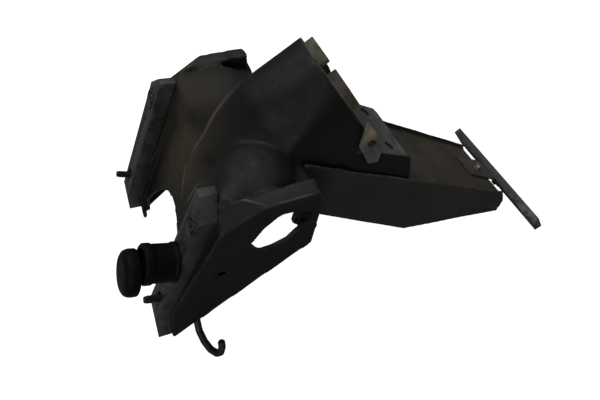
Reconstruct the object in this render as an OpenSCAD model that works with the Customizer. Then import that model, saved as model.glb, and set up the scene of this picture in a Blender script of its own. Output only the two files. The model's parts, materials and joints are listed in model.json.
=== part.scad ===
// Tail tidy: a moulded undertray with lamp hood, a number-plate hanger and their fittings.
// Millimetres. X points to the rear, +Y to the right-hand side, Z up from the table that the part rests on.
// Sizes along X are counted from the cheek tips, and those along Y from the mid-plane between the cheeks.
// base_x and base_y put the origin under the middle of the part, whose only hook stands out on the left.

/* [Cheeks] */
// Half the distance between the cheek tips, on the outer faces
tip_half_w = 91; // [85:0.5:97]
// Outward lean of the cheeks
cheek_lean = 3.1; // [1:0.1:5]
// Thickness of the cheek walls
cheek_t = 4; // [3:0.1:5]
// Height of the top rim at its front kink
rim_z = 215.5; // [212:0.5:220]
// Rise of the top rim towards the rear
rim_rise = 5.9; // [2:0.1:8]
// Width of the flat top rim
rim_w = 16; // [12:0.5:18]
// Front kink of the top rim
rim_front_x = 84.5; // [80:0.5:90]
// Rear end of the top rim
rim_rear_x = 127; // [124:0.5:130]
// Height of the lower rear corner of each cheek
cheek_rear_z = 139; // [130:1:146]
// Small blind hole in each cheek
cheek_hole_d = 7; // [4:0.5:10]

/* [Mounting rails] */
// Lean of the mounting faces from upright
rail_lean = 17.9; // [16:0.1:20]
// Height of the studs above the table
stud_z = 80; // [76:1:84]
// Set-back of the studs from the cheek tips
stud_x = -6; // [-9:0.5:-3]
// Distance from stud to grommet along the face
mount_pitch = 109; // [104:1:114]
// Stud and sleeve centres from the mid-plane
mount_y = 82; // [79:0.5:82.5]
// Depth of the rails
rail_t = 14; // [11:0.5:16]
// Inner edge of the rails from the mid-plane
rail_in = 67; // [64:0.5:69]
// Outer edge of the rails from the mid-plane
rail_out = 92.5; // [91.5:0.5:95]
// Height of the face's bend above the table
rail_bend_z = 58; // [52:1:62]
// Height of the rails' lower ends above the table
rail_foot_z = 15; // [11:1:17]
// Width of the rails at their lower ends
rail_foot_w = 8; // [6:0.5:12]
// Height of the rails' tops at the inner edge
rail_top_z = 210.5; // [208:0.5:213]
// Drop of the rails' tops towards the outer edge
rail_top_drop = 14.5; // [11:0.5:17]
// Thread size of the studs
stud_d = 8; // [6:0.5:8.5]
// Length of stud that stands out of the face
stud_out = 13.5; // [10:0.5:25]
// Length of the stud slots
slot_l = 19; // [14:0.5:22]
// Width of the stud slots
slot_w = 9; // [8.8:0.1:10]
// Outer diameter of the grommets
grommet_d = 19; // [17:0.5:20]
// Outer diameter of the grommet sleeves
sleeve_d = 10; // [9:0.5:12]
// Bore of the grommet sleeves
sleeve_bore = 6.5; // [5.5:0.1:7.5]
// Thickness of the flanges behind the rails
flange_t = 4; // [3:0.1:5]

/* [Saddle and bulges] */
// Wall of the undertray
wall = 3; // [2.4:0.1:3.6]
// Distance of the saddle panel behind the rail faces
saddle_set = 21; // [20:0.5:24]
// Drop of the saddle's top below the rim at its rear edge
saddle_drop = 14; // [10:0.5:17]
// Radius of the two bulges
bulge_r = 39; // [37:0.5:41]
// Bulge centres from the cheek tips
bulge_x = 90; // [88:0.5:92]
// Bulge centres from the mid-plane
bulge_y = 56; // [54:0.5:58]
// Bulge centres above the table
bulge_z = 188; // [185:0.5:190]
// Crown of the arch between the cheeks
arch_z = 116; // [112:1:124]
// Half the width of the arch at its foot
arch_half_w = 80; // [76:1:84]

/* [Lamp hood] */
// Top of the hood's rim from the cheek tips
hood_x = 150; // [146:1:154]
// Top of the hood's rim above the table
hood_z = 280; // [275:1:285]
// Slope of the hood's opening
hood_slope = 50; // [47:0.5:53]
// Half the hood's width at the top corners
hood_top_w = 43; // [41:0.5:45]
// Half the hood's width at its foot
hood_foot_w = 49; // [47:0.5:51]
// Radius of the hood's top corners
hood_r = 36; // [32:0.5:39]
// Length of the opening down its slope
hood_l = 72; // [66:1:78]
// Drop of the hood's crown from its rim to half way along
hood_mid_drop = 37; // [34:0.5:41]
// Rear end of the step behind the hood
step_x = 279; // [276:0.5:284]
// Height of the step's rear edge
step_z = 161; // [156:0.5:164]
// Slope of the step's top, which carries the lamp bracket
step_slope = 22; // [18:0.5:26]
// Half the width of the step's top
step_half_w = 41; // [38:0.5:44]

/* [Plate hanger] */
// Slope of the hanger's floor
floor_slope = 23.7; // [23:0.1:24.5]
// Height of the hanger's rim beside the step's rear end
floor_rim_z = 142; // [139:0.5:144]
// Depth of the trough below the rim
trough_d = 6; // [4:0.5:8]
// Front end of the hanger
hanger_front_x = 134.5; // [133.5:0.5:142]
// Rear end of the hanger
hanger_rear_x = 481; // [474:1:488]
// Half the rim's width beside the step's rear end
hanger_half_w = 55; // [54:0.5:58]
// Half the rim's width at the rear end
hanger_rear_w = 49.5; // [46:0.5:53]
// Half the hanger's width along its lower corners
keel_half_w = 60; // [58:0.5:63]
// Wall of the hanger
hanger_wall = 3; // [2.4:0.1:3.6]

/* [Plate bar] */
// Length of the plate bar
bar_l = 196; // [170:1:220]
// Thickness of the plate bar
bar_t = 11; // [9:0.5:14]
// Height of the plate bar
bar_h = 42; // [36:1:44]
// Lower edge of the bar from the cheek tips
bar_x = 541; // [538:1:544]
// Lean of the bar from upright
bar_lean = 45; // [42:0.5:48]
// Width of the bar's bracket
bracket_w = 38; // [30:1:46]
// Thickness of the bar's bracket
bracket_t = 3; // [2:0.1:4]
// Thread size of the bracket's bolt
bar_bolt_d = 6; // [5:0.5:8]

/* [Lamp bracket and pads] */
// Length of the lamp bracket behind its slots
lamp_l = 22; // [19:1:24]
// Half the lamp bracket's width
lamp_half_w = 40; // [38:0.5:40.5]
// Thickness of the lamp bracket
lamp_t = 2; // [1.5:0.1:3]
// Half the pitch of the lamp bracket's slots
lamp_slot_y = 28; // [22:0.5:32]
// Length of the lamp bracket's slots
lamp_slot_l = 11; // [8:0.5:14]
// Width of the lamp bracket's slots
lamp_slot_w = 5; // [4:0.2:6.4]
// Height of the lamp pads above the hood
pad_t = 8; // [6:0.5:9]

/* [Fittings] */
// Wire of the luggage hooks
wire_d = 6; // [4:0.5:7]
// Outer diameter of the rubber sleeve
rubber_d = 36; // [32:0.5:40]
// Bore of the rubber sleeve
rubber_bore = 27; // [24:0.5:29]
// Length of the rubber sleeve
rubber_l = 29; // [25:1:36]
// Height of the rubber sleeve above the stud, along the face
rubber_up = 60; // [52:1:64]
// Diameter of the indicator bushes
bush_d = 17; // [14:0.5:19]

/* [Hidden] */
$fn = 24;
base_x = 256.1;
base_y = -13.5;
far = 500;
skin = 0.01;

// Mounting face, in side view
bend_x = stud_x - (stud_z - rail_bend_z) * tan(rail_lean);
function line_x(z, d) = stud_x + (z - stud_z) * tan(rail_lean) + d / cos(rail_lean);
function bend_at(d) = rail_bend_z - d * tan(rail_lean / 2);
function face_line(d, low, high) = [[bend_x + d, low], [bend_x + d, bend_at(d)], [line_x(high, d), high]];
function turned(p) = [for (i = [len(p) - 1:-1:0]) p[i]];
function band(d0, d1, low, high) = concat(face_line(d0, low, high), turned(face_line(d1, low, high)));

// Cheek outline, as places along X and up the leaning outer face
rim_rear_z = rim_z + (rim_rear_x - rim_front_x) * tan(rim_rise);
tip_flat = 3;
rear_lean = 3.4;
rear_corner_z = rim_rear_z - 7;
rear_corner_x = rim_rear_x + 6;
rear_foot_x = rear_corner_x + (rear_corner_z - cheek_rear_z) * tan(rear_lean);
function outer_y(z) = tip_half_w + z * tan(cheek_lean);

// Corners of the sloping facet at the cheek's top front
cheek_top_set = rail_t + flange_t - 1.5;
facet_front_x = line_x(rim_z - 22.5, cheek_top_set) + 5.5;
facet_low_z = rim_z - 22.5;
facet_low = [facet_front_x, outer_y(facet_low_z), facet_low_z];
facet_rear = [rim_front_x, outer_y(rim_z), rim_z];
facet_in_x = facet_front_x + 4;
facet_in = [facet_in_x, outer_y(rim_z - 4.5) - 22, rim_z - (rim_front_x - facet_in_x) * tan(rim_rise)];
facet_cross = cross(facet_low - facet_in, facet_rear - facet_in);
facet_n = facet_cross * sign(facet_cross[1]) / norm(facet_cross);

// Hanger floor
function rim_at(x) = floor_rim_z - (x - step_x) * tan(floor_slope);
function floor_at(x) = rim_at(x) - trough_d / cos(floor_slope);
hanger_taper = (hanger_rear_w - hanger_half_w) / (hanger_rear_x - step_x);
function hanger_w(x) = hanger_half_w + hanger_taper * (x - step_x);
body_gap = 0.2;
function hanger_in(x) = hanger_w(x) - hanger_wall - body_gap;
body_foot_w = hanger_in(step_x);
body_front_w = hanger_in(hanger_front_x);

module placed() {
    translate([-base_x, -base_y, 0]) children();
}

module on_side(side) {
    mirror([0, side < 0 ? 1 : 0, 0]) children();
}

module both_sides() {
    for (side = [-1, 1]) on_side(side) children();
}

// Extrudes a side view, X and Z, from one distance off the mid-plane to another
module side_view(from, to) {
    translate([0, to, 0]) rotate([90, 0, 0]) linear_extrude(to - from) children();
}

// X and Y of the children become X and up the cheek's outer face, and Z goes into the part
module cheek_frame() {
    translate([0, tip_half_w, 0]) rotate([90 - cheek_lean, 0, 0]) children();
}

// X goes into the part square to the mounting face, Z up the face from the stud
module rail_frame() {
    translate([stud_x, 0, stud_z]) rotate([0, rail_lean, 0]) children();
}

// X goes down the slope of the hood's opening from its top, Z out of it
module hood_frame() {
    translate([hood_x, 0, hood_z]) rotate([0, hood_slope, 0]) children();
}

// X goes down the slope of the step's top from the lamp bracket's slots, Z out of it
slot_x = step_x - 27;
slot_z = step_z + 27 * tan(step_slope);
module lamp_frame() {
    translate([slot_x, 0, slot_z]) rotate([0, step_slope, 0]) children();
}

// X goes down the hanger's floor from a place along the part, Z out of it
module floor_frame(x) {
    translate([x, 0, floor_at(x)]) rotate([0, floor_slope, 0]) children();
}

// X goes through the bar from front to rear, Z up its height from its lower edge
module bar_frame() {
    translate([bar_x, 0, 0]) rotate([0, -bar_lean, 0]) children();
}

module tube(d_out, d_in, l) {
    difference() {
        cylinder(d = d_out, h = l);
        translate([0, 0, -1]) cylinder(d = d_in, h = l + 2);
    }
}

module hex_head(across, h) {
    cylinder(d = across / cos(30), h = h, $fn = 6);
}

// Everything outside the cheek's outer face, less a depth
module outside_cheek(depth) {
    cheek_frame() translate([-far / 2, -far / 2, depth - far]) cube(far);
}

// Everything beyond the sloping facet, less a depth
module beyond_facet(depth) {
    translate(facet_in - depth * facet_n)
        rotate([0, acos(facet_n[2]), atan2(facet_n[1], facet_n[0])])
            translate([-far / 2, -far / 2, 0]) cube(far);
}

function cheek_outline(grow) = [
    [bend_x + rail_t, 0],
    [bend_x + rail_t, bend_at(rail_t)],
    [line_x(rim_z - 4, cheek_top_set), rim_z - 4],
    [rim_front_x, rim_z],
    [rim_rear_x, rim_rear_z],
    [rear_corner_x + grow, rear_corner_z],
    [rear_foot_x + grow, cheek_rear_z],
    [bend_x + rail_t + tip_flat, -grow]
];

hollow_at = rail_t + flange_t + 1;
function cheek_hollow(d) = [
    [bend_x + hollow_at, -far],
    [bend_x + hollow_at, bend_at(hollow_at)],
    [line_x(rim_z - 4, hollow_at), rim_z - 4 - d],
    [rim_front_x, rim_z - d],
    [rim_rear_x, rim_rear_z - d],
    [rim_rear_x + far, rim_rear_z - d],
    [rim_rear_x + far, -far]
];

harness_hole = [[74, 163], [83, 149], [94, 150], [108, 157], [117, 171], [110, 190], [108, 199], [98, 199],
    [84, 183]];

module cheek_shell() {
    difference() {
        cheek_frame() linear_extrude(rim_w) polygon(cheek_outline(0));
        beyond_facet(0);
        difference() {
            cheek_frame() translate([0, 0, cheek_t]) linear_extrude(far) polygon(cheek_hollow(cheek_t));
            beyond_facet(cheek_t);
        }
    }
}

rail_top_flat = 9;
module rail_outline(foot) {
    rotate([90, 0, 90]) translate([0, 0, -far / 2]) linear_extrude(far) polygon([
        [rail_in, rail_top_z],
        [rail_in + rail_top_flat, rail_top_z],
        [rail_out, rail_top_z - rail_top_drop],
        [rail_out, foot],
        [rail_out - rail_foot_w, foot],
        [rail_in, rail_bend_z]
    ]);
}

module cheek_flange() {
    intersection() {
        side_view(rail_in, rail_out) {
            polygon(band(rail_t, rail_t + flange_t, 0, rail_top_z));
            polygon([
                [line_x(rail_top_z - 18, rail_t + 1), rail_top_z - 18],
                [line_x(rail_top_z, rail_t + 1), rail_top_z],
                [line_x(rail_top_z, saddle_set + 1.3), rail_top_z],
                [line_x(rail_top_z - 18, saddle_set + 1.3), rail_top_z - 18]
            ]);
        }
        rail_outline(rail_foot_z - 3);
    }
}

// Space under the saddle, less a wall
saddle_front_z = rim_z - 6;
saddle_rear_z = rim_rear_z - saddle_drop;
module saddle_form(d) {
    rear = d > 0 ? rear_corner_x + 1 : rear_corner_x;
    low = d > 0 ? -1 : rail_foot_z;
    difference() {
        side_view(-far / 4, far / 4) polygon(concat(
            face_line(saddle_set + d, low, saddle_front_z - d),
            [[rear, saddle_rear_z - d], [rear, low]]
        ));
        valley(d);
    }
}

// Valley between the saddle's sides, rising to the rear, grown by a wall
valley_low = 30;
valley_slope = 28;
valley_w = rail_in;
module valley(d) {
    start_z = arch_z + valley_low;
    rise = (saddle_front_z - start_z) * 0.7;
    translate([line_x(start_z, saddle_set), 0, start_z]) rotate([90 - valley_slope, 0, 90])
        translate([0, 0, -far / 4]) linear_extrude(far)
            offset(delta = d) polygon([[0, 0], [2 * valley_w, 2 * rise], [-2 * valley_w, 2 * rise]]);
}

// Arch section of the hood, down its slope and across, less a wall
function hood_half(d) = concat(
    [for (a = [0:15:90]) [hood_r - (hood_r - d) * cos(a), hood_top_w - hood_r + (hood_r - d) * sin(a)]],
    [[hood_l, hood_foot_w - d]]
);
function mirrored(p) = concat(p, [for (i = [len(p) - 1:-1:0]) [p[i][0], -p[i][1]]]);

module hood_section(x, z, size, d) {
    translate([x, 0, z]) rotate([0, hood_slope, 0]) linear_extrude(skin)
        scale(size) polygon(mirrored(hood_half(d / size)));
}

module across(x, half_w, z) {
    translate([x, -half_w, z]) cube([skin, 2 * half_w, skin]);
}

hood_foot_x = hood_x + hood_l * cos(hood_slope);
hood_foot_z = hood_z - hood_l * sin(hood_slope);
nose_z = arch_z + valley_low;
nose_x = line_x(nose_z, saddle_set) + 1;
nose_size = 0.55;
hood_mid_x = (hood_x + nose_x) / 2 + 3;
mid_size = 0.85;
hood_mid_z = hood_z - hood_mid_drop;
body_front_x = 112;
function step_at(x) = step_z + (step_x - x) * tan(step_slope);

// Hood with the sides below it, down to the hanger's floor, less a wall
module hood_form(d) {
    out = d > 0 ? 2 : 0;
    low = d > 0 ? 40 : 30;
    hull() {
        hood_section(hood_x + out, hood_z + out, 1, d);
        hood_section(hood_mid_x, hood_mid_z, mid_size, d);
        hood_section(nose_x + d, nose_z, nose_size, d);
        across(hood_foot_x + out, hood_foot_w - d, hood_foot_z);
        across(hood_foot_x + out, hood_foot_w + 1 - d, step_at(hood_foot_x));
        across(hood_foot_x + out, hanger_in(hood_foot_x) - d, floor_at(hood_foot_x) - low);
        across(body_front_x, body_front_w - d, rim_at(body_front_x) - trough_d);
        across(body_front_x, body_front_w - d, floor_at(body_front_x) - low);
    }
}

// Step behind the hood, which carries the lamp bracket, less a wall
module step_form(d) {
    low = d > 0 ? 40 : 30;
    hull() {
        across(step_x - d, step_half_w - d, step_z - d);
        across(hood_foot_x - 8, hood_foot_w - d, step_at(hood_foot_x - 8) - d);
        across(step_x - d, body_foot_w - d, rim_at(step_x));
        across(step_x - d, body_foot_w - d, floor_at(step_x) - low);
        across(hood_foot_x - 8, hanger_in(hood_foot_x) - d, rim_at(hood_foot_x - 8));
        across(hood_foot_x - 8, hanger_in(hood_foot_x) - d, floor_at(hood_foot_x - 8) - low);
    }
}

// Drop-shaped bulge beside the hood, its small end at the grommet, less a wall
drop_r = 9;
drop_end = [line_x(rail_top_z - 38.5, saddle_set + 3), rail_in + 6, rail_top_z - 38.5];
bulge_c = [bulge_x, bulge_y, bulge_z];
drop_l = norm(drop_end - bulge_c);
drop_n = (drop_end - bulge_c) / drop_l;
drop_tangent = asin((bulge_r - drop_r) / drop_l);
module bulges(d) {
    big = bulge_r - d;
    small = drop_r - d;
    both_sides() translate(bulge_c) rotate([0, acos(drop_n[2]), atan2(drop_n[1], drop_n[0])])
        rotate_extrude($fn = 40) polygon(concat(
            [[0, -big]],
            [for (a = [-80:16:drop_tangent]) [big * cos(a), big * sin(a)]],
            [for (a = [drop_tangent, 40, 65]) [small * cos(a), drop_l + small * sin(a)]],
            [[0, drop_l + small]]
        ));
}

// Everything below the hanger's floor, behind the cheeks
module under_floor() {
    translate([rear_corner_x, -far / 2, 0]) intersection() {
        translate([0, 0, -far / 2]) cube([far, far, far]);
        translate([0, 0, floor_at(rear_corner_x)]) rotate([0, floor_slope, 0])
            translate([-far, 0, -far]) cube([2 * far, far, far]);
    }
}

// Arch between the cheeks, seen from the front
function arch_at(y) = arch_z * (1 - pow(y / arch_half_w, 2.2));
module arch_cut() {
    rotate([90, 0, 90]) translate([0, 0, -far / 2]) linear_extrude(far / 2 + 75)
        polygon(concat([for (y = [-arch_half_w:5:arch_half_w]) [y, arch_at(abs(y))]],
            [[arch_half_w, -20], [-arch_half_w, -20]]));
}

module skin_form() {
    difference() {
        union() {
            saddle_form(0);
            hood_form(0);
            step_form(0);
            bulges(0);
        }
        saddle_form(wall);
        hood_form(wall);
        step_form(wall);
        bulges(wall);
        under_floor();
        arch_cut();
        both_sides() outside_cheek(cheek_t / 2);
        both_sides() beyond_facet(cheek_t / 2);
    }
}

module undertray() {
    color([0.1, 0.1, 0.1]) placed() difference() {
        union() {
            skin_form();
            both_sides() cheek_shell();
            both_sides() cheek_flange();
            both_sides() on_cheek(bush_at, 1) cylinder(d = bush_d + 3, h = cheek_t - 1);
            both_sides() on_cheek(cheek_hole_at, cheek_t - 1) cylinder(d = cheek_hole_d + 5, h = 9);
            on_side(-1) hook_lug();
            for (x = hanger_screw_x) both_sides() hanger_boss(x);
        }
        both_sides() cheek_frame() translate([0, 0, -1]) linear_extrude(rim_w / 2) difference() {
            polygon(harness_hole);
            translate(bush_at) circle(d = bush_d + 3);
        }
        both_sides() on_cheek(cheek_hole_at, -1) cylinder(d = cheek_hole_d, h = cheek_t + 7);
        both_sides() into_face(0, rail_t - 1) cylinder(d = stud_d + 0.2, h = flange_t + 2);
        both_sides() into_face(0, saddle_set - 1.5) cylinder(d = access_d, h = far / 10);
        both_sides() into_face(mount_pitch, rail_t - 1) cylinder(d = sleeve_bore + 0.5, h = flange_t + 2);
        both_sides() into_face(mount_pitch, saddle_set - 1.5) cylinder(d = access_d, h = 12);
        both_sides() into_face(rail_screw_up, rail_t - 1) cylinder(d = 3.2, h = flange_t + 2);
        on_side(-1) lug_bore();
        both_sides() on_cheek(bush_at, -1) cylinder(d = bush_d - 4, h = cheek_t + 2);
        for (x = hanger_screw_x) both_sides() hanger_hole(x, 3.1, -8, 18);
        both_sides() ear_hole(3.1, -12);
        lamp_frame() for (side = [-1, 1]) translate([0, side * lamp_slot_y, -8])
            cylinder(d = lamp_slot_w, h = 8 - lamp_t);
    }
}

cheek_hole_at = [50, 122];

// Z goes into the cheek from a place on its outer face
module on_cheek(place, depth) {
    cheek_frame() translate([place[0], place[1], depth]) children();
}

// Z goes into the part at a height up the mounting face, with X up the face
access_d = 16;
module into_face(up, depth) {
    rail_frame() translate([depth, mount_y, up]) rotate([0, 90, 0]) children();
}

// Place of the indicator bush on the cheek, at the rear end of the harness hole
bush_at = [118, 187];

// Lug for the luggage hook, inside the left cheek only
lug_x = 29;
lug_y = 84;
lug_low = 30;
lug_high = 46;
module hook_lug() {
    translate([lug_x, lug_y, lug_low]) cylinder(d = 2 * wire_d, h = lug_high - lug_low);
    translate([lug_x - 4, lug_y, lug_low]) cube([8, outer_y(lug_low) - lug_y - 1, lug_high - lug_low]);
}

module lug_bore() {
    translate([lug_x, lug_y, lug_low - 1]) cylinder(d = wire_d + 0.1, h = lug_high - lug_low - 3);
}

// Screw bosses inside the body, standing on the hanger's floor
hanger_screw_x = [170, 262];
boss_y = 40;
module hanger_boss(x) {
    floor_frame(x) translate([0, boss_y, 0]) cylinder(d = 10, h = 14);
    floor_frame(x) translate([-2, boss_y, 0]) cube([4, hanger_in(x) - boss_y - wall, 6]);
}

module hanger_hole(x, d, from, h) {
    floor_frame(x) translate([0, boss_y, from]) cylinder(d = d, h = h);
}

module ear_hole(d, from) {
    translate([ear_at[0], ear_y + from, ear_at[1]]) rotate([-90, 0, 0])
        cylinder(d = d, h = -from + lamp_t + 1);
}

// Hanger's outer form, or the space inside its walls
keel_x = 297;
keel_z = 61;
keel_drop = 25;
keel_in = 4;
hanger_front_low = 141;
hanger_rear_low = 9;
module hanger_form(d) {
    out = d > 0 ? 2 : 0;
    low = d > 0 ? 5 : 0;
    hull() {
        across(hanger_front_x - out, hanger_w(hanger_front_x) - d, rim_at(hanger_front_x - out) + out);
        across(hanger_rear_x - d, hanger_rear_w - d, rim_at(hanger_rear_x - d) + out);
        across(hanger_front_x - out, keel_half_w - d, hanger_front_low);
        across(hanger_front_x - out, keel_half_w - keel_in - d, hanger_front_low - 4 - low);
        across(keel_x, keel_half_w - d, keel_z);
        across(hanger_rear_x + 2 - d, hanger_rear_w + 8 - d, 40);
        across(keel_x + 13, keel_half_w - keel_in - d, keel_z - keel_drop - low);
        across(hanger_rear_x + 13 - d, keel_half_w - keel_in - d - 2, hanger_rear_low - low);
    }
}

module above_floor(lift) {
    translate([0, 0, floor_at(0) + lift / cos(floor_slope)]) rotate([0, floor_slope, 0])
        translate([-far, -far / 2, 0]) cube([3 * far, far, far]);
}

module plate_hanger() {
    color([0.2, 0.18, 0.15]) placed() difference() {
        hanger_form(0);
        for (x = hanger_screw_x) both_sides() hanger_hole(x, 3.4, -hanger_wall - 1, hanger_wall + 2);
        floor_frame(bolt_x) translate([0, 0, -hanger_wall - 1])
            cylinder(d = bar_bolt_d + 0.4, h = hanger_wall + 2);
        floor_frame(hanger_rear_x) translate([-hanger_wall - 4, hanger_wall - hanger_rear_w, 0])
            cube([far / 10, 2 * (hanger_rear_w - hanger_wall), far / 10]);
        difference() {
            hanger_form(hanger_wall);
            difference() {
                translate([0, -far / 2, -far]) cube([2 * far, far, 2 * far]);
                above_floor(0);
                difference() {
                    translate([0, -far, -far]) cube([3 * far, 2 * far, 3 * far]);
                    above_floor(-hanger_wall);
                }
            }
        }
    }
}

// Rail with its slot, its grommet bore and the counterbore of its screw
rail_screw_up = 83;
module mount_rail(side) {
    color([0.13, 0.13, 0.13]) placed() on_side(side) difference() {
        intersection() {
            side_view(rail_in, rail_out) polygon(band(0, rail_t, rail_foot_z, rail_top_z));
            rail_outline(rail_foot_z);
        }
        into_face(mount_pitch, -1) cylinder(d = grommet_d, h = rail_t + 2);
        into_face(0, -1) stud_slot(rail_t + 2);
        into_face(rail_screw_up, -1) cylinder(d = 6, h = 9);
        into_face(rail_screw_up, 0) cylinder(d = 3.2, h = rail_t + 1);
    }
}

// Slot along X, cut along Z
module stud_slot(h) {
    for (end = [-1, 1]) translate([end * (slot_l - slot_w) / 2, 0, 0]) cylinder(d = slot_w, h = h);
    translate([-(slot_l - slot_w) / 2, -slot_w / 2, 0]) cube([slot_l - slot_w, slot_w, h]);
}

module grommet(side) {
    color([0.2, 0.2, 0.2]) placed() on_side(side) into_face(mount_pitch, 0) rotate_extrude()
        polygon([[sleeve_d / 2, 2], [sleeve_d / 2 + 1, 1], [grommet_d / 2 - 2, 1], [grommet_d / 2 - 1, -0.8],
            [grommet_d / 2, -0.8], [grommet_d / 2, rail_t], [sleeve_d / 2, rail_t]]);
}

module grommet_sleeve(side) {
    color([0.4, 0.4, 0.4]) placed() on_side(side) into_face(mount_pitch, -0.5)
        tube(sleeve_d, sleeve_bore, rail_t + 0.5);
}

stud_head_h = 5;
stud_waist = 1.2;
module stud(side) {
    color([0.1, 0.1, 0.1]) placed() on_side(side) {
        into_face(0, -stud_out) cylinder(d = stud_d, h = stud_out);
        into_face(0, 0) cylinder(d = stud_d - stud_waist, h = hollow_at + 0.1);
        into_face(0, hollow_at + 0.1) hex_head(stud_d * 1.63, stud_head_h);
    }
}

module rail_screws() {
    color([0.3, 0.3, 0.3]) placed() both_sides() {
        into_face(rail_screw_up, 5) cylinder(d = 5.5, h = 3);
        into_face(rail_screw_up, 8) cylinder(d = 3, h = rail_t + flange_t - 9);
    }
}

// Lamp bracket: a plate on the step with an ear down each side of the body
ear_y = hood_foot_w + 2.3;
ear_at = [204, 211];
ear_outline = [[192, 239], [192, 208], [210, 182], [221, 182], [221, 196], [206, 222]];
lamp_front = -52;
module lamp_bracket() {
    color([0.5, 0.5, 0.48]) placed() difference() {
        union() {
            lamp_frame() linear_extrude(lamp_t) polygon([
                [lamp_front, -lamp_half_w - 4],
                [lamp_l, -lamp_half_w],
                [lamp_l, lamp_half_w],
                [lamp_front, lamp_half_w + 4]
            ]);
            both_sides() side_view(ear_y, ear_y + lamp_t) polygon(ear_outline);
            both_sides() lamp_frame() translate([lamp_front, lamp_half_w, 0])
                cube([12, ear_y + lamp_t - lamp_half_w, lamp_t]);
        }
        for (side = [-1, 1]) lamp_frame() translate([0, side * lamp_slot_y, -1]) rotate([0, 0, -52])
            lamp_slot(lamp_t + 2);
        both_sides() ear_hole(3.4, -3);
    }
}

module lamp_slot(h) {
    half = (lamp_slot_l - lamp_slot_w) / 2;
    for (end = [-1, 1]) translate([end * half, 0, 0]) cylinder(d = lamp_slot_w, h = h);
    translate([-half, -lamp_slot_w / 2, 0]) cube([2 * half, lamp_slot_w, h]);
}

module lamp_bracket_screws() {
    color([0.25, 0.25, 0.23]) placed() both_sides()
        translate([ear_at[0], ear_y, ear_at[1]]) rotate([-90, 0, 0]) {
            translate([0, 0, lamp_t]) cylinder(d = 7, h = 2.5);
            translate([0, 0, -10]) cylinder(d = 3, h = 10 + lamp_t);
        }
}

// Pads of foam glued on the hood's rim: one over its top, one round its left corner
pad_w = 7;
pad_far = 12;
pad_side_l = 10;
upper_pad_to = 20;
lower_pad_from = 36;
function rim_point(a, inset) = [
    hood_r - (hood_r - inset) * cos(a),
    hood_r - hood_top_w - (hood_r - inset) * sin(a)
];
function rim_arc(from, to, inset) = [for (i = [0:6]) rim_point(from + (to - from) * i / 6, inset)];
module pad(at) {
    color([0.45, 0.4, 0.3]) placed() hood_frame() translate([0, 0, skin]) linear_extrude(pad_t) polygon(at);
}

module upper_lamp_pad() {
    inner = turned(rim_arc(0, upper_pad_to, pad_w));
    pad(concat([[0, pad_far]], rim_arc(0, upper_pad_to, 0), inner, [[pad_w, pad_far]]));
}

module lower_lamp_pad() {
    side = rim_point(90, 0) + [pad_side_l, -pad_side_l * (hood_foot_w - hood_top_w) / (hood_l - hood_r)];
    inner = turned(rim_arc(lower_pad_from, 90, pad_w));
    pad(concat(rim_arc(lower_pad_from, 90, 0), [side, side + [0, pad_w]], inner));
}

module plate_bar() {
    color([0.25, 0.25, 0.25]) placed() bar_frame() difference() {
        translate([0, -bar_l / 2, 0]) cube([bar_t, bar_l, bar_h]);
        for (y = bar_screw_y) translate([-1, y, bar_screw_up]) rotate([0, 90, 0]) cylinder(d = 4.2, h = 9);
    }
}

bar_screw_y = [-12, 12];
bar_screw_up = bar_h - 7;
bracket_front_x = 434;
bolt_x = 466;
lift = bracket_t / cos(floor_slope);
fold_end = bar_h - 14;
// Height up the bar where a line along the floor meets the front face or a line before it
function fold_up(t, z) = (z + t * sin(bar_lean) - (bar_x - t * cos(bar_lean)) * tan(floor_slope))
    / (cos(bar_lean) - sin(bar_lean) * tan(floor_slope));
function on_bar(up, t) = [
    bar_x - up * sin(bar_lean) - t * cos(bar_lean),
    up * cos(bar_lean) - t * sin(bar_lean)
];
module bar_bracket() {
    color([0.35, 0.35, 0.35]) placed() difference() {
        side_view(-bracket_w / 2, bracket_w / 2) polygon([
            [bracket_front_x, floor_at(bracket_front_x)],
            on_bar(fold_up(bracket_t, floor_at(0)), bracket_t),
            on_bar(fold_end, bracket_t),
            on_bar(fold_end, 0),
            on_bar(fold_up(0, floor_at(0) + lift), 0),
            [bracket_front_x, floor_at(bracket_front_x) + lift]
        ]);
        floor_frame(bolt_x) translate([0, 0, -1]) cylinder(d = bar_bolt_d + 0.4, h = bracket_t + 2);
        bar_frame() for (y = bar_screw_y) translate([-bracket_t - 1, y, bar_screw_up]) rotate([0, 90, 0])
            cylinder(d = 4.2, h = bracket_t + 2);
    }
}

module bar_bolt() {
    color([0.6, 0.6, 0.6]) placed() floor_frame(bolt_x) {
        translate([0, 0, bracket_t + 1.5]) hex_head(10, 4);
        translate([0, 0, -hanger_wall - 8]) cylinder(d = bar_bolt_d, h = hanger_wall + 8 + bracket_t + 1.5);
    }
}

module bar_washer() {
    color([0.6, 0.6, 0.6]) placed() floor_frame(bolt_x) translate([0, 0, bracket_t])
        tube(2 * bar_bolt_d + 2, bar_bolt_d + 0.3, 1.5);
}

module bar_nut() {
    color([0.6, 0.6, 0.6]) placed() floor_frame(bolt_x) translate([0, 0, -hanger_wall - 5]) difference() {
        hex_head(10, 5);
        translate([0, 0, -1]) cylinder(d = bar_bolt_d, h = 7);
    }
}

module bar_screws() {
    color([0.3, 0.3, 0.3]) placed() bar_frame() for (y = bar_screw_y)
        translate([0, y, bar_screw_up]) rotate([0, 90, 0]) {
            translate([0, 0, -bracket_t - 2.5]) cylinder(d = 8, h = 2.5);
            translate([0, 0, -bracket_t]) cylinder(d = 4, h = bracket_t + 7);
        }
}

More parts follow.
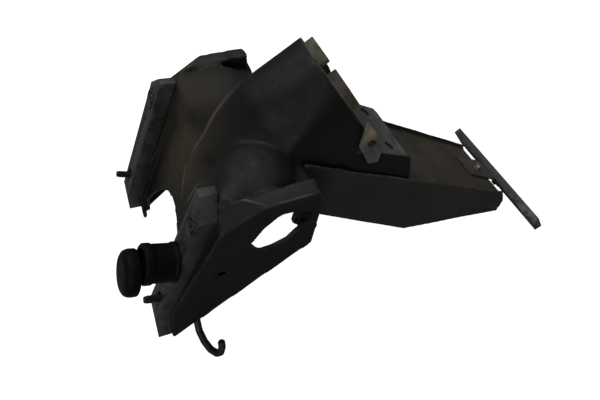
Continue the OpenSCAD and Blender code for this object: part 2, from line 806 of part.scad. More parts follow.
hook_path = [[lug_x, lug_y, lug_high - 4], [lug_x, lug_y, 22], [28.5, 87, 15], [28.5, 96, 9], [31, 108, 5.5],
    [35, 118, 4], [40, 125, 6], [43.5, 127, 11], [45.5, 124.5, 18], [45.5, 121, 24]];
module luggage_hook() {
    color([0.1, 0.1, 0.1]) placed() on_side(-1) for (i = [0:len(hook_path) - 2])
        wire_length(hook_path[i], hook_path[i + 1], i == 0);
}

module wire_length(from, to, first) {
    run = to - from;
    l = norm(run);
    translate(from) rotate([0, acos(run[2] / l), atan2(run[1], run[0])])
        cylinder(d = wire_d, h = l, $fn = 12);
    if (!first) translate(from) sphere(d = wire_d, $fn = 12);
}

module rubber_sleeve() {
    color([0.15, 0.15, 0.15]) placed() on_side(-1) into_face(rubber_up, 0) rotate_extrude() polygon([
        [rubber_bore / 2, -rubber_l], [rubber_d / 2 - 1.5, -rubber_l], [rubber_d / 2, -rubber_l + 1.5],
        [rubber_d / 2, -rubber_l + 7], [rubber_d / 2 - 1, -rubber_l + 8], [rubber_d / 2 - 1, -4],
        [rubber_d / 2, -3], [rubber_d / 2, 0], [rubber_bore / 2, 0]]);
}

// Plug hanging in the rubber sleeve's mouth
plug_d = 41;
plug_t = 13;
plug_drop = 11;
module rubber_plug() {
    color([0.08, 0.08, 0.08]) placed() on_side(-1) into_face(rubber_up, 0) {
        translate([plug_drop, 0, -rubber_l - 1.5 - plug_t]) rotate_extrude() polygon([
            [0, 0],
            [plug_d / 2 - 5, 0.5],
            [plug_d / 2 - 1.5, 2.5],
            [plug_d / 2, 6],
            [plug_d / 2, plug_t - 1],
            [plug_d / 2 - 1, plug_t],
            [0, plug_t]
        ]);
        translate([rubber_bore / 2 - 6.5, 0, -rubber_l - 2]) cylinder(d = 13, h = 14);
    }
}

module indicator_bush(side) {
    outer = bush_d / 2;
    color([0.1, 0.1, 0.1]) placed() on_side(side) on_cheek(bush_at, 0) rotate_extrude() polygon([
        [outer - 5, -1.2],
        [outer - 0.8, -1.2],
        [outer, -0.4],
        [outer, 0],
        [outer - 2, 0],
        [outer - 2, cheek_t],
        [outer - 0.8, cheek_t],
        [outer - 0.8, cheek_t + 2],
        [outer - 5, cheek_t + 2]
    ]);
}

module hanger_screws() {
    color([0.3, 0.3, 0.3]) placed() for (x = hanger_screw_x) both_sides()
        floor_frame(x) translate([0, boss_y, 0]) {
            translate([0, 0, -hanger_wall - 2.5]) cylinder(d = 8, h = 2.5);
            translate([0, 0, -hanger_wall]) cylinder(d = 3, h = hanger_wall + 9);
        }
}

undertray();
plate_hanger();
mount_rail(-1);  // left_mount_rail
mount_rail(1);  // right_mount_rail
grommet(-1);  // left_grommet
grommet(1);  // right_grommet
grommet_sleeve(-1);  // left_grommet_sleeve
grommet_sleeve(1);  // right_grommet_sleeve
stud(-1);  // left_stud
stud(1);  // right_stud
rail_screws();
lamp_bracket();
lamp_bracket_screws();
upper_lamp_pad();
lower_lamp_pad();
plate_bar();
bar_bracket();
bar_bolt();
bar_washer();
bar_nut();
bar_screws();
luggage_hook();
rubber_sleeve();
rubber_plug();
indicator_bush(-1);  // left_indicator_bush
indicator_bush(1);  // right_indicator_bush
hanger_screws();
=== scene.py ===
import json
import math

import bpy
import bmesh
from mathutils import Matrix, Vector


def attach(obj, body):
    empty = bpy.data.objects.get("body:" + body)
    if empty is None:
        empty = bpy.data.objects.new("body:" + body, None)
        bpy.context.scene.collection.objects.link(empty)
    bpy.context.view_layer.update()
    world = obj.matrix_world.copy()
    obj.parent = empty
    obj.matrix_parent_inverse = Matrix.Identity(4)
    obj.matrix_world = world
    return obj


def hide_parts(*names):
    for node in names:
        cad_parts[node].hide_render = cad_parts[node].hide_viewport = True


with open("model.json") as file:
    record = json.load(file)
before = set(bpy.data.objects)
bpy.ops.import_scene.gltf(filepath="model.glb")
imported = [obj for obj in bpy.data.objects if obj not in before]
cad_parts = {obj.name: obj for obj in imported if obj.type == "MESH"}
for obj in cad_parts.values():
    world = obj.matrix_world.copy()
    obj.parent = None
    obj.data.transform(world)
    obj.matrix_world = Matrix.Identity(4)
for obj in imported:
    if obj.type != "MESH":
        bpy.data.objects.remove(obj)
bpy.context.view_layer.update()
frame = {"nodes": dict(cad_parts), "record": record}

nodes = frame["nodes"]
slot_of = {part["node"]: part["material_slot"] for part in frame["record"]["subparts"]}

# The shared frame's origin, in mm from the cheek tips and the mid-plane that the places below are given in
BASE_X, BASE_Y = 256.1, -13.5

# Left and right of the mid-plane
SIDES = (-1, 1)


def at(x, y, z):
    """A place given in mm from the cheek tips and the mid-plane, as metres in the shared frame."""
    return Vector(((x - BASE_X) / 1000, (y - BASE_Y) / 1000, z / 1000))


def measured(co):
    """A place in metres as mm from the cheek tips, from the mid-plane to either side, and above the floor."""
    return co.x * 1000 + BASE_X, abs(co.y * 1000 + BASE_Y), co.z * 1000


def added(name, data):
    """A new object in the scene."""
    obj = bpy.data.objects.new(name, data)
    bpy.context.collection.objects.link(obj)
    return obj


# The camera, solved from the photo: its three axes, its place and its lens
CAMERA_RIGHT = Vector((0.91079, -0.38036, 0.16060))
CAMERA_UP = Vector((0.20193, 0.74965, 0.63028))
CAMERA_BACK = Vector((-0.36013, -0.54162, 0.75958))
CAMERA_PLACE = at(-15.24, -290, 478.62)
cam_data = bpy.data.cameras.new("camera")
cam = added("camera", cam_data)
camera_turn = Matrix((CAMERA_RIGHT, CAMERA_UP, CAMERA_BACK)).transposed().to_4x4()
cam.matrix_world = Matrix.Translation(CAMERA_PLACE) @ camera_turn
cam_data.sensor_width = 36
cam_data.lens = 26.4
cam_data.clip_start = 0.01
bpy.context.scene.camera = cam

# The sockets of the Mix node that carry colours
MIX_A, MIX_B, MIX_RESULT = 6, 7, 2


class Graph:
    """A material's node tree, with short ways to write the nodes that the materials share."""

    def __init__(self, name, base, rough, metallic=0.0):
        self.mat = bpy.data.materials.new(name)
        self.mat.use_nodes = True
        self.tree = self.mat.node_tree
        self.bsdf = self.tree.nodes["Principled BSDF"]
        self.bsdf.inputs["Base Color"].default_value = (*base, 1)
        self.bsdf.inputs["Roughness"].default_value = rough
        self.bsdf.inputs["Metallic"].default_value = metallic
        self.coord = self.tree.nodes.new("ShaderNodeTexCoord")

    def node(self, kind, **props):
        """A new node with some of its properties set."""
        node = self.tree.nodes.new(kind)
        for key, value in props.items():
            setattr(node, key, value)
        return node

    def link(self, source, target):
        """Joins one node's output to another's input."""
        self.tree.links.new(source, target)

    def put(self, socket, value):
        """Gives a socket a number, a colour or another node's output."""
        if isinstance(value, (int, float)):
            socket.default_value = value
        elif isinstance(value, tuple):
            socket.default_value = (*value, 1)
        else:
            self.link(value, socket)

    def noise(self, scale, detail, rough, seed):
        """Noise in the part's own coordinates, moved by a seed."""
        noise = self.node("ShaderNodeTexNoise")
        noise.inputs["Scale"].default_value = scale
        noise.inputs["Detail"].default_value = detail
        noise.inputs["Roughness"].default_value = rough
        mapping = self.node("ShaderNodeMapping")
        mapping.inputs["Location"].default_value = (seed, seed * 0.7, -seed)
        self.link(self.coord.outputs["Object"], mapping.inputs["Vector"])
        self.link(mapping.outputs["Vector"], noise.inputs["Vector"])
        return noise.outputs["Fac"]

    def ramp(self, value, across, to=(0.0, 1.0)):
        """A smooth step from one output to another across a range of the value."""
        step = self.node("ShaderNodeMapRange", interpolation_type="SMOOTHSTEP")
        self.put(step.inputs["Value"], value)
        step.inputs["From Min"].default_value, step.inputs["From Max"].default_value = across
        step.inputs["To Min"].default_value, step.inputs["To Max"].default_value = to
        return step.outputs["Result"]

    def math(self, op, a, b, clamp=False):
        """A sum, difference or product of two values, held between 0 and 1 if it is clamped."""
        node = self.node("ShaderNodeMath", operation=op, use_clamp=clamp)
        self.put(node.inputs[0], a)
        self.put(node.inputs[1], b)
        return node.outputs[0]

    def mix(self, fac, a, b):
        """One colour where the factor is 0, and another where it is 1."""
        node = self.node("ShaderNodeMix", data_type="RGBA")
        self.put(node.inputs["Factor"], fac)
        self.put(node.inputs[MIX_A], a)
        self.put(node.inputs[MIX_B], b)
        return node.outputs[MIX_RESULT]

    def upward(self):
        """1 where the surface looks up, 0 where it looks sideways and less where it looks down."""
        parts = self.node("ShaderNodeSeparateXYZ")
        self.link(self.node("ShaderNodeNewGeometry").outputs["Normal"], parts.inputs[0])
        return parts.outputs["Z"]

    def pointy(self):
        """Over a half on outward edges."""
        return self.node("ShaderNodeNewGeometry").outputs["Pointiness"]

    def bump(self, height, strength, distance, under=None):
        """A bumped normal, over another one where that is given."""
        bump = self.node("ShaderNodeBump")
        bump.inputs["Strength"].default_value = strength
        bump.inputs["Distance"].default_value = distance
        self.put(bump.inputs["Height"], height)
        if under is not None:
            self.link(under, bump.inputs["Normal"])
        return bump.outputs["Normal"]

    def span(self, kind, location, scale, turn=(0, 0, 0)):
        """The length of the part's own coordinates after a mapping."""
        mapping = self.node("ShaderNodeMapping", vector_type=kind)
        mapping.inputs["Location"].default_value = location
        mapping.inputs["Rotation"].default_value = turn
        mapping.inputs["Scale"].default_value = scale
        self.link(self.coord.outputs["Object"], mapping.inputs["Vector"])
        length = self.node("ShaderNodeVectorMath", operation="LENGTH")
        self.link(mapping.outputs["Vector"], length.inputs[0])
        return length.outputs["Value"]

    def near(self, centre, radius, stretch):
        """1 at a place and 0 at a radius from it, which is divided by the stretch along each axis."""
        offset = tuple(-c * s for c, s in zip(centre, stretch))
        return self.ramp(self.span("POINT", offset, stretch), (radius, 0.0))

    def reach(self, centre, sizes, turn):
        """How far a place is from a centre, in the half sizes of a turned ellipsoid."""
        return self.span("TEXTURE", centre, sizes, turn)

    def finish(self, colour, rough, normal):
        """Gives the shader its inputs, and gives back the material."""
        self.put(self.bsdf.inputs["Base Color"], colour)
        self.put(self.bsdf.inputs["Roughness"], rough)
        self.link(normal, self.bsdf.inputs["Normal"])
        return self.mat


# Linear colours that come back below: dust films, dust with a painted highlight along the folds, the grey of
# painted highlights and the painted shade of a hole
DUST = (0.034, 0.029, 0.019)
HANGER_DUST = (0.066, 0.055, 0.037)
TAN = (0.060, 0.052, 0.036)
HIGHLIGHT_GREY = (0.055, 0.055, 0.052)
HOLE_SHADE = (0.0008, 0.0008, 0.0008)

# Against a moulding's own colour: how dark its darker patches are, and how much paler its painted edge
# highlights are
PATCH_SHADE = 0.72
HIGHLIGHT_GAIN, HIGHLIGHT_LIFT = 4.0, 0.02


def moulding(
    name, base, dust, amount, rough=0.5, edge_highlight=0.5, grain=1.0, spec=0.22,
    places=(), stains_and_painted_light=(), lines=(), shaded_holes=(),
):
    """Plastic, rubber or foam, with a grain, a dust film on what looks up, and pale edges painted on as
    highlights.

    Places are dustier or cleaner patches. Patches and streaks of a colour of their own stand for dust, wear,
    painted shade and painted highlights, and holes are painted black as painted shade."""
    g = Graph(name, base, rough)
    broad = g.noise(scale=9, detail=5, rough=0.6, seed=1.3)
    fine = g.noise(scale=60, detail=5, rough=0.65, seed=4.1)
    speck = g.noise(scale=420, detail=3, rough=0.6, seed=2.2)

    film = g.math("MULTIPLY", g.ramp(g.upward(), (0.15, 0.95)), g.ramp(broad, (0.3, 0.7), (0.35, 1.0)))
    film = g.math("MULTIPLY", film, g.ramp(fine, (0.25, 0.75), (0.5, 1.0)))
    film = g.math("MULTIPLY", film, amount)
    for centre, radius, stretch, force in places:
        patch = g.math("MULTIPLY", g.near(centre, radius, stretch), g.ramp(fine, (0.25, 0.7), (0.45, 1.0)))
        film = g.math("ADD", film, g.math("MULTIPLY", patch, force), clamp=True)
    film = g.math("MULTIPLY", film, g.ramp(speck, (0.2, 0.6), (0.75, 1.0)), clamp=True)

    body = g.mix(g.ramp(broad, (0.35, 0.65)), tuple(c * PATCH_SHADE for c in base), base)
    # Pale outward edges, painted on as highlights
    edge = g.math("MULTIPLY", g.ramp(g.pointy(), (0.515, 0.58)), g.ramp(fine, (0.35, 0.6)), clamp=True)
    highlight_colour = tuple(min(1, c * HIGHLIGHT_GAIN + HIGHLIGHT_LIFT) for c in base)
    body = g.mix(g.math("MULTIPLY", edge, edge_highlight), body, highlight_colour)
    colour = g.mix(film, body, dust)

    # Patches of a colour of their own: dust, wear, painted shade and painted light
    for centre, radius, stretch, tint, force in stains_and_painted_light:
        patch = g.math("MULTIPLY", g.near(centre, radius, stretch), g.ramp(fine, (0.35, 0.6)), clamp=True)
        colour = g.mix(g.math("MULTIPLY", patch, force), colour, tint)
    for centre, sizes, turn, tint, force in lines:
        inside = g.ramp(g.reach(centre, sizes, turn), (1.0, 0.3))
        streak = g.math("MULTIPLY", inside, g.ramp(fine, (0.25, 0.55)), clamp=True)
        colour = g.mix(g.math("MULTIPLY", streak, force), colour, tint)
    # Holes painted black as painted shade, with their specular sheen taken away
    for centre, sizes, turn in shaded_holes:
        hole_shade = g.ramp(g.reach(centre, sizes, turn), (1.0, 0.86))
        colour = g.mix(hole_shade, colour, HOLE_SHADE)
        spec = g.math("MULTIPLY", g.math("SUBTRACT", 1.0, hole_shade), spec)
    g.put(g.bsdf.inputs["Specular IOR Level"], spec)

    roughness = g.ramp(fine, (0.3, 0.7), (rough - 0.07, rough + 0.07))
    roughness = g.math("ADD", roughness, g.math("MULTIPLY", film, 0.35), clamp=True)
    grains = g.bump(speck, 0.12 * grain, 0.0004)
    waves = g.bump(broad, 0.05 * grain, 0.002, under=grains)
    return g.finish(colour, roughness, waves)


def metal(name, base, rough, stain, amount, metallic=1.0):
    """Metal, bare or painted, with blotches of a stain and a fine grain."""
    g = Graph(name, base, rough, metallic)
    blotch = g.noise(scale=150, detail=5, rough=0.65, seed=3.3)
    fine = g.noise(scale=900, detail=3, rough=0.6, seed=0.4)
    colour = g.mix(g.math("MULTIPLY", g.ramp(blotch, (0.42, 0.66)), amount), base, stain)
    roughness = g.ramp(blotch, (0.3, 0.7), (rough - 0.08, rough + 0.18))
    return g.finish(colour, roughness, g.bump(fine, 0.15, 0.0002))


def cut(centre, radius, width, normal, tint, force):
    """A streak where a disc cuts the surface."""
    turn = Vector(normal).to_track_quat("Z", "Y").to_euler()
    return centre, (radius, radius, width), turn, tint, force


# Half a streak's length against the way between its two places, so that each runs into the next
STREAK_SHARE = 0.62


def streaks(points, width, tint, force):
    """Streaks along a line of places."""
    found = []
    for a, b in zip(points, points[1:]):
        turn = (b - a).to_track_quat("X", "Z").to_euler()
        found.append(((a + b) / 2, ((b - a).length * STREAK_SHARE, width, width), turn, tint, force))
    return found


# The plane of the hood's rim: the way it looks and a place in it
RIM_LEAN = math.radians(50)
RIM_OUT = Vector((math.sin(RIM_LEAN), 0, math.cos(RIM_LEAN)))
HOOD_RIM = at(150, 0, 280)

# The painted highlight along the hood's rim: a pale line where a disc just under the rim's plane cuts the
# surface
RIM_LINE_DEPTH, RIM_LINE_RADIUS, RIM_LINE_WIDTH = 0.0006, 0.09, 0.0016

# The pale brown lines along the folds beside the hood, partly dust and partly a painted highlight on the
# folds' edges: the centres, radii and normals of the discs that draw them
FOLD_WIDTH = 0.0022
FOLDS = [
    (at(70, 22, 192), 0.046, (-0.62, 0.75, 0.24)),
    (at(39, -3, 147), 0.024, (-0.22, 0.69, -0.69)),
    (at(43, -27, 156), 0.026, (0.03, 1, 0.09)),
]

# The painted highlight along the edge of the facet above each cheek
FACET_WIDTH = 0.0012
FACETS = [[at(55, s * 76.5, 210), at(83.5, s * 101.5, 215), at(126, s * 101.5, 219.5)] for s in SIDES]

# The round hole in each cheek and the half sizes of the black painted in it as painted shade
CHEEK_HOLES = [at(50.2, s * 94, 122.1) for s in SIDES]
CHEEK_HOLE_SIZES = (0.0049, 0.007, 0.0049)

# The slots of the lamp bracket, which lie in the slope of the step's top and are turned in it: the half sizes
# of the black painted in them as painted shade, how far from their middles their walls are spread, and how
# much
STEP_SLOPE = math.radians(22)
SLOT_TURN = Matrix.Rotation(STEP_SLOPE, 3, "Y") @ Matrix.Rotation(math.radians(-52), 3, "Z")
SLOTS = [at(252.4, s * 28, 172.8) for s in SIDES]
SLOT_SIZES = (0.0066, 0.0043, 0.006)
SLOT_REACH = 0.0062
SLOT_GROWTH = (1.12, 1.6)

UNTURNED = (0, 0, 0)
ROUND = (1, 1, 1)

mats = {
    # The undertray: a dusty saddle, a cleaner hood and near bulge, painted shade on the hood's top, in a
    # crease and in the holes, facets painted lighter as painted light, and pale lines of painted highlight
    # and dust
    "tray_plastic": moulding(
        "tray_plastic", (0.0064, 0.0064, 0.0067), DUST, 0.24, rough=0.58, edge_highlight=0.8, spec=0.13,
        places=[
            (at(45, 25, 150), 0.075, (0.9, 0.8, 0.8), 0.9),
            (at(52, -50, 180), 0.040, ROUND, 0.4),
            (at(62, 62, 200), 0.050, ROUND, 0.45),
            (at(82, -56, 226), 0.045, ROUND, -0.5),
            (at(125, -8, 262), 0.060, ROUND, -0.25),
        ],
        stains_and_painted_light=[
            # The facets' tops, painted a lighter grey as painted light
            *((at(100, s * 90, 216), 0.034, (0.7, 1.6, 2), (0.022, 0.022, 0.022), 0.8) for s in SIDES),
            # The hood's top, painted darker than its plastic as painted shade
            (at(118, -10, 256), 0.085, ROUND, (0.0026, 0.0026, 0.0027), 0.9),
            # Painted shade darkening a crease
            (at(64, -14, 178), 0.034, ROUND, (0.0042, 0.0042, 0.0038), 0.8),
        ],
        lines=[
            # Pale brown lines along the folds: dust, and a painted highlight on their edges
            *(cut(centre, radius, FOLD_WIDTH, normal, TAN, 0.8) for centre, radius, normal in FOLDS),
            # Painted highlights along the facets' edges and the hood's rim
            *streaks(FACETS[0], FACET_WIDTH, HIGHLIGHT_GREY, 0.8),
            *streaks(FACETS[1], FACET_WIDTH, HIGHLIGHT_GREY, 0.8),
            cut(HOOD_RIM - RIM_OUT * RIM_LINE_DEPTH, RIM_LINE_RADIUS, RIM_LINE_WIDTH, RIM_OUT, HIGHLIGHT_GREY, 0.7),
        ],
        # The cheek holes painted black as painted shade
        shaded_holes=[(hole, CHEEK_HOLE_SIZES, UNTURNED) for hole in CHEEK_HOLES],
    ),
    # The plate hanger, under a thick film of brown dust
    "hanger_plastic": moulding(
        "hanger_plastic", (0.020, 0.020, 0.019), HANGER_DUST, 0.85, rough=0.6, spec=0.16,
    ),
    # The rails, and the bar with a pale worn end
    "rail_plastic": moulding("rail_plastic", (0.010, 0.010, 0.010), (0.035, 0.032, 0.027), 0.4),
    "bar_plastic": moulding(
        "bar_plastic", (0.009, 0.009, 0.009), (0.04, 0.04, 0.036), 0.5,
        stains_and_painted_light=[(at(516, -86, 36), 0.045, (1, 0.75, 1), (0.13, 0.13, 0.125), 0.55)],
    ),
    # The lamp bracket: grey, with a yellow-brown patch on its ear, a darker patch below that, and slots
    # painted black as painted shade
    "bracket_plastic": moulding(
        "bracket_plastic", (0.052, 0.054, 0.055), (0.075, 0.070, 0.062), 0.35, rough=0.6,
        stains_and_painted_light=[
            (at(206, -50, 226), 0.023, (0.8, 1, 1), (0.26, 0.20, 0.11), 0.95),
            (at(206, -56, 200), 0.024, (1, 1, 0.8), (0.026, 0.026, 0.021), 0.7),
        ],
        # The slots painted black as painted shade
        shaded_holes=[(slot, SLOT_SIZES, SLOT_TURN.to_euler()) for slot in SLOTS],
    ),
    # The foam of the pads, and the rubber of the grommets, of the sleeve and plug, and of the bushes
    "pad_foam": moulding(
        "pad_foam", (0.036, 0.032, 0.022), (0.062, 0.055, 0.038), 0.4, rough=0.85, grain=4.0,
    ),
    "grommet_rubber": moulding(
        "grommet_rubber", (0.012, 0.012, 0.012), (0.04, 0.04, 0.037), 0.5, rough=0.6,
    ),
    "duct_rubber": moulding(
        "duct_rubber", (0.0014, 0.0014, 0.0014), (0.006, 0.006, 0.0055), 0.3,
        rough=0.55, edge_highlight=0.3, spec=0.06,
    ),
    "bush_rubber": moulding(
        "bush_rubber", (0.002, 0.002, 0.002), (0.01, 0.01, 0.009), 0.3,
        rough=0.55, edge_highlight=0.3, spec=0.08,
    ),
    # Steel: the sleeves, the screws, the plated bolt, washer and nut, the studs, the bracket and the hook
    "sleeve_steel": metal("sleeve_steel", (0.05, 0.05, 0.05), 0.45, (0.02, 0.015, 0.01), 0.6),
    "screw_steel": metal("screw_steel", (0.06, 0.06, 0.055), 0.45, (0.03, 0.018, 0.01), 0.6),
    "zinc_steel": metal("zinc_steel", (0.25, 0.25, 0.24), 0.4, (0.1, 0.08, 0.05), 0.5),
    "black_steel": metal(
        "black_steel", (0.010, 0.010, 0.010), 0.5, (0.02, 0.015, 0.01), 0.4, metallic=0.6,
    ),
    "bracket_steel": metal(
        "bracket_steel", (0.036, 0.034, 0.030), 0.5, (0.09, 0.07, 0.04), 0.6, metallic=0.3,
    ),
    "hook_steel": metal(
        "hook_steel", (0.004, 0.004, 0.004), 0.5, (0.01, 0.009, 0.008), 0.5, metallic=0.2,
    ),
}


def painted(obj, node):
    """Gives an object the material of a node's slot."""
    obj.data.materials.clear()
    obj.data.materials.append(mats[slot_of[node]])


def stand_for(obj, node):
    """Shows an object in place of a CAD node, on the root body and in the material of the node's slot."""
    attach(obj, "root")
    painted(obj, node)
    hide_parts(node)


def applied(obj):
    """The object's evaluated mesh, with its modifiers applied and removed."""
    depsgraph = bpy.context.evaluated_depsgraph_get()
    mesh = bpy.data.meshes.new_from_object(obj.evaluated_get(depsgraph))
    obj.modifiers.clear()
    obj.data = mesh
    return mesh


def shaded_smooth(mesh):
    """Marks every face to be shaded smooth."""
    for face in mesh.polygons:
        face.use_smooth = True


def fade(value, none, full):
    """0 at one value and 1 at another, smoothly."""
    t = min(1.0, max(0.0, (value - none) / (full - none)))
    return t * t * (3 - 2 * t)


# The bulges' tops and how far each settles: fully within one distance, and not at all past the other
BULGE_TOPS = [at(80, s * 57, 226) for s in SIDES]
SETTLE = Vector((0.0035, 0, -0.0065))
SETTLE_FULL, SETTLE_NONE = 0.008, 0.044


def rim_height(co):
    """Height in mm above the plane of the hood's rim."""
    return (co - HOOD_RIM).dot(RIM_OUT) * 1000


def blend_at(co):
    """How much of the blending a place on the undertray takes: saddle, bulges and hood, but no edges."""
    x, y, z = measured(co)
    between_cheeks = fade(y, 83, 74)
    above_arch = fade(z, 118, 130)
    before_step = fade(x, 200, 190)
    below_rim = fade(rim_height(co), -4, -11)
    return between_cheeks * above_arch * before_step * below_rim


def broad_at(co):
    """How much of a second, broader blending a place takes: the valley's sides and the hood's top."""
    x, y, _ = measured(co)
    before_hood = fade(x, 84, 68)
    near_middle = fade(y, 36, 22)
    return blend_at(co) * max(before_hood, near_middle)


def settle(mesh):
    """Lowers the tops of the two bulges, which the source draws as balls, nearer to the photo's flat ones."""
    for vertex in mesh.vertices:
        for top in BULGE_TOPS:
            vertex.co += SETTLE * fade((vertex.co - top).length, SETTLE_NONE, SETTLE_FULL)


def smoothing(obj, passes):
    """A modifier that smooths the object."""
    modifier = obj.modifiers.new("smooth", "SMOOTH")
    modifier.factor = 0.5
    modifier.iterations = passes
    return modifier


def blended(obj, weight, passes):
    """Smooths the object where a weight says so, and gives its mesh."""
    group = obj.vertex_groups.new(name="blend")
    for vertex in obj.data.vertices:
        group.add([vertex.index], weight(vertex.co), "REPLACE")
    smoothing(obj, passes).vertex_group = "blend"
    mesh = applied(obj)
    obj.vertex_groups.clear()
    return mesh


def soft_copy(node, voxel, passes, blend=0, fatten=0.0):
    """A dense copy of a CAD node with softened edges, which stands for it."""
    obj = added(node + "_skin", nodes[node].data.copy())
    remesh = obj.modifiers.new("remesh", "REMESH")
    remesh.mode = "VOXEL"
    remesh.voxel_size = voxel
    smoothing(obj, passes)
    if fatten:
        displace = obj.modifiers.new("fatten", "DISPLACE")
        displace.strength = fatten
        displace.mid_level = 0
    mesh = applied(obj)
    if blend:
        settle(mesh)
        blended(obj, blend_at, blend)
        mesh = blended(obj, broad_at, 4 * blend)
    shaded_smooth(mesh)
    stand_for(obj, node)


# How far to either side of a hole's middle, along its axis, its walls are moved
HOLE_DEPTH = 0.008

# What counts as one vertex and as one flat face, how edges are rounded, and where shading stays sharp
MERGE_DISTANCE = 1e-6
FLAT_ANGLE = math.radians(1.5)
BEVEL_ANGLE = math.radians(30)
BEVEL_SEGMENTS = 2
SHARP_ANGLE = math.radians(35)


def widen(mesh, centre, turn, reach, grow):
    """Spreads the walls of a hole away from its axis, which is the turned frame's Z."""
    for vertex in mesh.vertices:
        rel = turn.transposed() @ (vertex.co - centre)
        if rel.xy.length < reach and abs(rel.z) < HOLE_DEPTH:
            vertex.co = centre + turn @ Vector((rel.x * grow[0], rel.y * grow[1], rel.z))


def edged_copy(node, width, sink=0.0, holes=()):
    """A copy of a CAD node with its edges rounded over, which stands for it.

    Where it sinks, what touches the hood's rim is moved into it."""
    obj = added(node + "_edged", nodes[node].data.copy())
    for hole in holes:
        widen(obj.data, *hole)
    bm = bmesh.new()
    bm.from_mesh(obj.data)
    bmesh.ops.remove_doubles(bm, verts=bm.verts, dist=MERGE_DISTANCE)
    bmesh.ops.dissolve_limit(bm, angle_limit=FLAT_ANGLE, verts=bm.verts, edges=bm.edges)
    if sink:
        for vertex in bm.verts:
            if rim_height(vertex.co) < 1:
                vertex.co -= RIM_OUT * sink
    bm.to_mesh(obj.data)
    bm.free()
    bevel = obj.modifiers.new("bevel", "BEVEL")
    bevel.width = width
    bevel.segments = BEVEL_SEGMENTS
    bevel.limit_method = "ANGLE"
    bevel.angle_limit = BEVEL_ANGLE
    mesh = applied(obj)
    shaded_smooth(mesh)
    mesh.set_sharp_from_angle(angle=SHARP_ANGLE)
    stand_for(obj, node)


# The studs: M8 with its coarse thread, set in rails whose front faces lean
RAIL_LEAN = math.radians(17.9)
STUD_AXIS = Vector((-math.cos(RAIL_LEAN), 0, math.sin(RAIL_LEAN)))
STUD_RADIUS = 0.004
STUD_LENGTH = 0.0135
THREAD_PITCH = 0.00125
THREAD_DEPTH = 0.61 * THREAD_PITCH
THREAD_ROOT = STUD_RADIUS - THREAD_DEPTH
THREAD_SIDES = 32

# How deep each ring of thread sits in the shank, and how near a vertex lies to the shank's end and wall
RING_SINK = 0.0004
END_GAP, WALL_GAP = 0.0001, 0.0002


def thread_ring():
    """One turn of thread about the origin, as a closed ring of pointed section, along the studs' axis."""
    turn = STUD_AXIS.to_track_quat("Z", "Y").to_matrix()
    half = THREAD_PITCH / 2
    inner = THREAD_ROOT - RING_SINK
    section = ((inner, -half), (THREAD_ROOT, -half), (STUD_RADIUS, 0), (THREAD_ROOT, half), (inner, half))
    count = len(section)
    verts, faces = [], []
    for i in range(THREAD_SIDES):
        a = 2 * math.pi * i / THREAD_SIDES
        verts += [turn @ Vector((r * math.cos(a), r * math.sin(a), z)) for r, z in section]
    for i in range(THREAD_SIDES):
        for k in range(count):
            j, m = (i + 1) % THREAD_SIDES, (k + 1) % count
            faces.append((i * count + k, j * count + k, j * count + m, i * count + m))
    mesh = bpy.data.meshes.new("ring")
    mesh.from_pydata(verts, [], faces)
    mesh.validate()
    return bpy.data.objects.new("ring", mesh)


def thinned(mesh, start):
    """Cuts a stud's shank back to the thread's root."""
    for vertex in mesh.vertices:
        rel = vertex.co - start
        along = rel.dot(STUD_AXIS)
        out = rel - along * STUD_AXIS
        on_shank = -END_GAP < along < STUD_LENGTH + END_GAP
        if on_shank and abs(out.length - STUD_RADIUS) < WALL_GAP:
            vertex.co = start + along * STUD_AXIS + out * (THREAD_ROOT / STUD_RADIUS)


def thread_tree(node, start, ring):
    """Geometry Nodes that set rings of thread along a stud and join them to it."""
    tree = bpy.data.node_groups.new("thread", "GeometryNodeTree")
    for way in ("INPUT", "OUTPUT"):
        tree.interface.new_socket("Geometry", in_out=way, socket_type="NodeSocketGeometry")
    into, out = tree.nodes.new("NodeGroupInput"), tree.nodes.new("NodeGroupOutput")
    line = tree.nodes.new("GeometryNodeMeshLine")
    line.inputs["Count"].default_value = int(STUD_LENGTH / THREAD_PITCH) - 1
    line.inputs["Start Location"].default_value = start + STUD_AXIS * THREAD_PITCH
    line.inputs["Offset"].default_value = STUD_AXIS * THREAD_PITCH
    info = tree.nodes.new("GeometryNodeObjectInfo")
    info.inputs["Object"].default_value = ring
    instances = tree.nodes.new("GeometryNodeInstanceOnPoints")
    realized = tree.nodes.new("GeometryNodeRealizeInstances")
    paint = tree.nodes.new("GeometryNodeSetMaterial")
    paint.inputs["Material"].default_value = mats[slot_of[node]]
    join = tree.nodes.new("GeometryNodeJoinGeometry")
    for source, target in (
        (line.outputs["Mesh"], instances.inputs["Points"]),
        (info.outputs["Geometry"], instances.inputs["Instance"]),
        (instances.outputs["Instances"], realized.inputs["Geometry"]),
        (into.outputs[0], join.inputs[0]),
        (realized.outputs["Geometry"], join.inputs[0]),
        (join.outputs[0], paint.inputs["Geometry"]),
        (paint.outputs["Geometry"], out.inputs[0]),
    ):
        tree.links.new(source, target)
    return tree


def threaded(node, start):
    """A copy of a stud with rings of thread along it, which stands for it."""
    obj = added(node + "_threaded", nodes[node].data.copy())
    thinned(obj.data, start)
    ring = thread_ring()
    obj.modifiers.new("thread", "NODES").node_group = thread_tree(node, start, ring)
    applied(obj)
    bpy.data.objects.remove(ring)
    stand_for(obj, node)


# Every CAD node gets its slot's material, and then a finer copy is shown in its place
for name, obj in nodes.items():
    painted(obj, name)

# The studs, from where they leave the rails
for node, side in zip(("left_stud", "right_stud"), SIDES):
    threaded(node, at(-6, side * 82, 80))

# The large mouldings, remeshed and smoothed. The undertray's creases are blended as well.
soft_copy("undertray", 0.0018, 2, blend=26)
soft_copy("plate_hanger", 0.0020, 2)

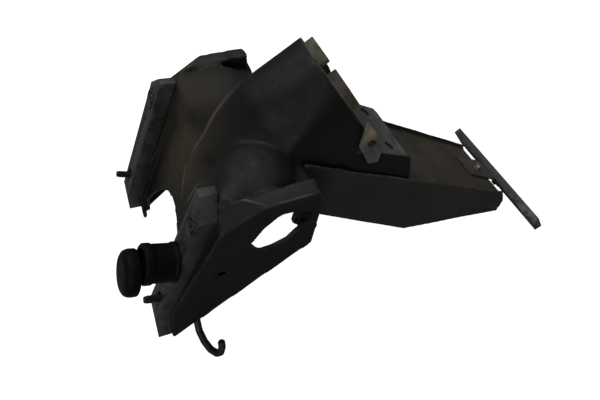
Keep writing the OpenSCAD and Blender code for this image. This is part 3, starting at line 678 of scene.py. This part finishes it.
# The rails, the bar and the brackets, with their edges rounded. The lamp bracket's slots are widened.
for side in ("left", "right"):
    edged_copy(side + "_mount_rail", 0.0007)
edged_copy("plate_bar", 0.0012)
edged_copy("lamp_bracket", 0.0005, holes=[(slot, SLOT_TURN, SLOT_REACH, SLOT_GROWTH) for slot in SLOTS])
edged_copy("bar_bracket", 0.0006)

# The hook's wire, thickened against what its smoothing takes off, and the plug
soft_copy("luggage_hook", 0.0009, 3, fatten=0.0010)
soft_copy("rubber_plug", 0.0009, 3)

# Small pieces, each with the width of its rounded edges
EDGE_WIDTHS = {
    "rubber_sleeve": 0.0005,
    "left_grommet": 0.0003,
    "right_grommet": 0.0003,
    "left_grommet_sleeve": 0.0003,
    "right_grommet_sleeve": 0.0003,
    "bar_bolt": 0.0004,
    "bar_nut": 0.0004,
    "bar_washer": 0.0002,
    "bar_screws": 0.0005,
    "lamp_bracket_screws": 0.0005,
    "rail_screws": 0.0004,
    "left_indicator_bush": 0.0004,
    "right_indicator_bush": 0.0004,
    "hanger_screws": 0.0005,
}
for node, width in EDGE_WIDTHS.items():
    edged_copy(node, width)

# The foam pads, pressed a little into the hood's rim
PAD_SINK = 0.0015
for node in ("upper_lamp_pad", "lower_lamp_pad"):
    edged_copy(node, 0.0009, sink=PAD_SINK)

# The floor, which shows white to the camera and lights the part as a grey one
FLOOR_GREY = (0.28, 0.28, 0.28, 1)
WHITE = (1, 1, 1, 1)
floor_mesh = bpy.data.meshes.new("floor")
floor_mesh.from_pydata([(-6, -6, 0), (6, -6, 0), (6, 8, 0), (-6, 8, 0)], [], [(0, 1, 2, 3)])
floor = added("floor", floor_mesh)
floor_mat = bpy.data.materials.new("floor")
floor_mat.use_nodes = True
floor_tree = floor_mat.node_tree
floor_bsdf = floor_tree.nodes["Principled BSDF"]
floor_bsdf.inputs["Base Color"].default_value = FLOOR_GREY
floor_bsdf.inputs["Roughness"].default_value = 0.9
floor_bsdf.inputs["Specular IOR Level"].default_value = 0.1
floor_bsdf.inputs["Emission Color"].default_value = WHITE
floor_ray = floor_tree.nodes.new("ShaderNodeLightPath")
floor_tree.links.new(floor_ray.outputs["Is Camera Ray"], floor_bsdf.inputs["Emission Strength"])
floor_mesh.materials.append(floor_mat)

# The world: dim light from all sides, and white where the camera sees it
WORLD_LIGHT, WORLD_SEEN = 0.12, 1.1
world = bpy.data.worlds.new("world")
bpy.context.scene.world = world
world.use_nodes = True
world_tree = world.node_tree
background = world_tree.nodes["Background"]
background.inputs["Color"].default_value = WHITE
world_ray = world_tree.nodes.new("ShaderNodeLightPath")
strength = world_tree.nodes.new("ShaderNodeMapRange")
strength.inputs["To Min"].default_value = WORLD_LIGHT
strength.inputs["To Max"].default_value = WORLD_SEEN
world_tree.links.new(world_ray.outputs["Is Camera Ray"], strength.inputs["Value"])
world_tree.links.new(strength.outputs["Result"], background.inputs["Strength"])

# The middle of the part, which the lamps look at
LIT_PLACE = Vector((0, 0, 0.1))


def lamp(name, place, size, power):
    """A soft round lamp."""
    data = bpy.data.lights.new(name, "AREA")
    data.shape = "DISK"
    data.size = size
    data.energy = power
    obj = added(name, data)
    obj.location = place
    obj.rotation_mode = "QUATERNION"
    obj.rotation_quaternion = (LIT_PLACE - Vector(place)).to_track_quat("-Z", "Y")


lamp("key", (-0.6, 0.9, 1.9), size=1.3, power=32)
lamp("fill", (-1.2, -1.5, 0.9), size=1.2, power=18)

# Colours as they are, with no film look
view = bpy.context.scene.view_settings
view.view_transform = "Standard"
view.look = "None"
view.exposure = 0
view.gamma = 1
